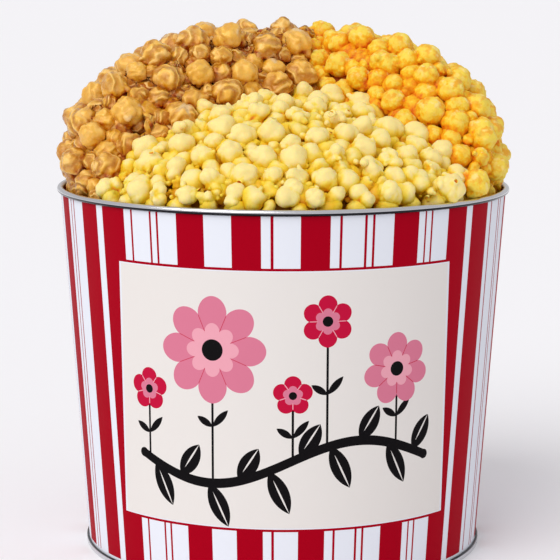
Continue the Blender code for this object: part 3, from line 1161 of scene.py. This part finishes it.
def popcorn(name, codes, patch_scale, patch_share, warmth):
    """A material whose colour runs from a painted highlight on the crest to painted shade in the gap, uneven by noise
    and by kernel. Warmth moves it to the gap's.
    """
    look = Pattern(name)
    depth = look.spread(look.attribute("depth"), CREST_DEPTH, GAP_DEPTH, DEPTH_SHARE)
    patches = look.sum("MULTIPLY", look.sum("SUBTRACT", look.noise(patch_scale, detail=4.0), 0.5), patch_share)
    kernels_apart = look.sum("MULTIPLY_ADD", look.attribute("tint"), TINT_SHARE, warmth - TINT_SHARE / 2)
    folded = look.sum("MULTIPLY_ADD", look.attribute("crease"), CREASE_SHARE, -0.25)
    # Painted shade where a neighbour is near.
    near = look.sum("MULTIPLY", look.sum("POWER", look.attribute("contact"), 1.5), NEAR_SHARE)
    share = look.sum("ADD", look.sum("ADD", folded, depth), look.sum("ADD", patches, kernels_apart))
    stops = list(zip(TONE_STOPS, [colour(code) for code in codes]))
    return look, look.ramp(look.sum("ADD", share, near), stops)


# From a painted highlight, through the butter's own yellows, to painted shade in the gaps.
BUTTER_TONES = ("#F8E294", "#F6DA60", "#F0CA26", "#ECAC08", "#D8720A")
butter, tone = popcorn("butter_popcorn", BUTTER_TONES, 160.0, 0.80, 0.03)
butter.set(
    Base_Color=tone, Roughness=butter.sum("MULTIPLY_ADD", butter.noise(400.0), 0.25, 0.35), Specular_IOR_Level=0.35,
    Subsurface_Weight=0.30, Subsurface_Radius=(1.0, 0.6, 0.12), Subsurface_Scale=0.0018)
butter.bump(butter.noise(500.0, detail=4.0), distance=0.00025)


# %% [markdown]
# Caramel is the glossiest: a hard glaze with a sharp highlight on each ridge. The ridges run in wavy lines, another
# way on each kernel, because a Wave texture reads the kernel's own place and not the place in the heap. Some kernels
# hardly have them. A pale cream painted highlight lies on the crests of the ridges and in small spots, and painted
# shade darkens the troughs. Here and there the caramel missed the corn and left a bare patch.

# %% Caramel finish
# From a painted highlight, through the caramel's own golds, to dark painted shade in the gaps.
CARAMEL_TONES = ("#F4BC4E", "#E6A82C", "#D88E10", "#A83600", "#720E00")
caramel, tone = popcorn("caramel_popcorn", CARAMEL_TONES, 240.0, 1.20, 0.0)
waves = caramel.node("ShaderNodeTexWave", {"Vector": caramel.attribute("own_place", "Vector"), "Scale": 85.0,
                                           "Distortion": 8.0, "Detail": 1.5, "Detail Scale": 1.3},
                     bands_direction="DIAGONAL").outputs["Fac"]
wrinkled = caramel.step(caramel.attribute("tint"), 0.10, 0.40, low=0.35)
ridges = caramel.node("ShaderNodeTexNoise", {"Vector": caramel.coordinates, "Scale": 190.0, "Detail": 2.0},
                      noise_type="RIDGED_MULTIFRACTAL").outputs["Fac"]
trough = caramel.sum("MULTIPLY", caramel.sum("SUBTRACT", 1.0, waves), wrinkled)
# Painted shade: the troughs between the ridges are coloured darker.
tone = caramel.blend(caramel.sum("MULTIPLY", trough, 0.70), tone, colour("#A4500A"))
# Painted highlight: pale cream on the ridges' crests and in small spots.
crest = caramel.step(waves, 0.72, 0.95, high=0.7)
broken = caramel.step(caramel.noise(150.0, detail=2.0), 0.42, 0.56)
glint_spots = caramel.step(caramel.noise(260.0, detail=3.0), 0.50, 0.66, high=0.32)
painted_highlight = caramel.sum("MAXIMUM", caramel.sum("MULTIPLY", caramel.sum("MULTIPLY", crest, wrinkled), broken), glint_spots)
tone = caramel.blend(painted_highlight, tone, colour("#F9D084"))
bare_patch = caramel.step(caramel.noise(70.0, detail=2.0), 0.66, 0.71)
caramel.set(
    Base_Color=caramel.blend(bare_patch, tone, colour("#E9C58E")),
    Roughness=caramel.sum("MULTIPLY_ADD", caramel.noise(300.0), 0.28, 0.12),
    Subsurface_Weight=0.10, Subsurface_Radius=(1.0, 0.5, 0.15), Subsurface_Scale=0.0010,
    Specular_IOR_Level=0.85, Specular_Tint=colour("#FFD49A"), Coat_Weight=0.12, Coat_Roughness=0.15)
caramel.bump(caramel.sum("SUBTRACT", ridges, trough), distance=0.00085)


# %% [markdown]
# Cheese powder is dry and grainy. On the crests it lies in orange patches, with pale flecks where it is thin; the
# pale flecks lie only on the lit tops and so are also a painted highlight. The deep orange in the pits and on the
# undersides is painted shade.

# %% Cheese finish
# From a painted highlight, through the cheese's own yellows and oranges, to painted shade in the pits.
CHEESE_TONES = ("#F9D850", "#F8C21A", "#F5AA0A", "#EF8A04", "#DA5C04")
cheese, tone = popcorn("cheese_popcorn", CHEESE_TONES, 400.0, 1.6, 0.02)
# The crest mask follows the depth mark, which leans upwards, so it marks the lit tops.
crest = cheese.spread(cheese.attribute("depth"), 0.001, -0.004)
thick_powder = cheese.step(cheese.noise(230.0, detail=4.0), 0.48, 0.60, high=0.75)
# Pale flecks: thin powder, and also a painted highlight on the lit tops.
thin_powder_and_highlight = cheese.step(cheese.noise(300.0, detail=4.0), 0.54, 0.66, high=0.9)
tone = cheese.blend(cheese.sum("MULTIPLY", thick_powder, crest), tone, colour("#F4A00E"))
tone = cheese.blend(cheese.sum("MULTIPLY", thin_powder_and_highlight, crest), tone, colour("#FDE28C"))
cheese.set(
    Base_Color=tone, Roughness=0.55, Specular_IOR_Level=0.30,
    Subsurface_Weight=0.16, Subsurface_Radius=(1.0, 0.55, 0.12), Subsurface_Scale=0.0012)
cheese.bump(cheese.noise(520.0, detail=5.0, roughness=0.65), distance=0.00065)

looks = {"butter": butter, "caramel": caramel, "cheese": cheese}
for flavour, heap in heaps.items():
    heap.data.materials.append(looks[flavour].material)


# %% Core finish
# The cores' colours are painted shade: the warm dark seen in the gaps, darker than the popcorn itself.
CORE_SHADE_TONES = {"butter": colour("#E09A14"), "caramel": colour("#701C04"), "cheese": colour("#D06008")}
for flavour, core in cores.items():
    deep = Pattern(f"{flavour}_deep")
    shadow = tuple(part * 0.6 for part in CORE_SHADE_TONES[flavour][:3]) + (1.0,)
    deep.set(Base_Color=deep.blend(deep.noise(120.0), shadow, CORE_SHADE_TONES[flavour]), Roughness=0.8)
    core.data.materials.append(deep.material)


# %% [markdown]
# ## Floor and light
# The setting is a bright white studio. The camera looks down so little that a wide pale floor fills the whole
# picture behind the tin. A sun lamp with a wide disc is a very large softbox a long way off: it lights the floor
# evenly to its far end, shapes the kernels from above left, and gives the glaze its highlights. A white world fills
# the shadows.

# %% Studio
FLOOR_SIZE = 60.0
bpy.ops.mesh.primitive_plane_add(size=FLOOR_SIZE)
studio = added("studio_floor")
paper = Pattern("studio_paper")
paper.set(Base_Color=colour("#FAF9FC"), Roughness=0.8, Specular_IOR_Level=0.1)
studio.data.materials.append(paper.material)

SUN_FROM = Vector((-0.55, -0.66, 0.80))
sun_data = bpy.data.lights.new("studio_sun", "SUN")
sun_data.energy = 1.55
sun_data.angle = math.radians(50)
sun_data.color = (1.0, 0.99, 0.97)
sun = linked("studio_sun", sun_data)
sun.rotation_euler = SUN_FROM.to_track_quat("Z", "Y").to_euler()

world = bpy.data.worlds.new("studio_world")
world.use_nodes = True
background = world.node_tree.nodes["Background"].inputs
background["Color"].default_value = colour("#FDFDFF")
background["Strength"].default_value = 0.64
bpy.context.scene.world = world
bpy.context.scene.view_settings.view_transform = "Standard"


# %% [markdown]
# ## Each piece stands for its solid
# Everything here is one still body. Each piece rides on it and replaces the solid whose form it has. The table also
# names each piece's finish in the record.

# %% Ride and replace
STANDS_FOR = [
    (tin_wall, "tin_body", "printed_tin"),
    (rim_bead, "tin_body", "bare_tin"),
    (base_seam, "tin_base", "bare_tin"),
]
for flavour in THIRDS:
    STANDS_FOR.append((heaps[flavour], f"{flavour}_popcorn", f"{flavour}_popcorn"))
    STANDS_FOR.append((cores[flavour], f"{flavour}_popcorn", f"{flavour}_popcorn"))
for piece, node, finish in STANDS_FOR:
    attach(piece, "root")
    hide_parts(node)
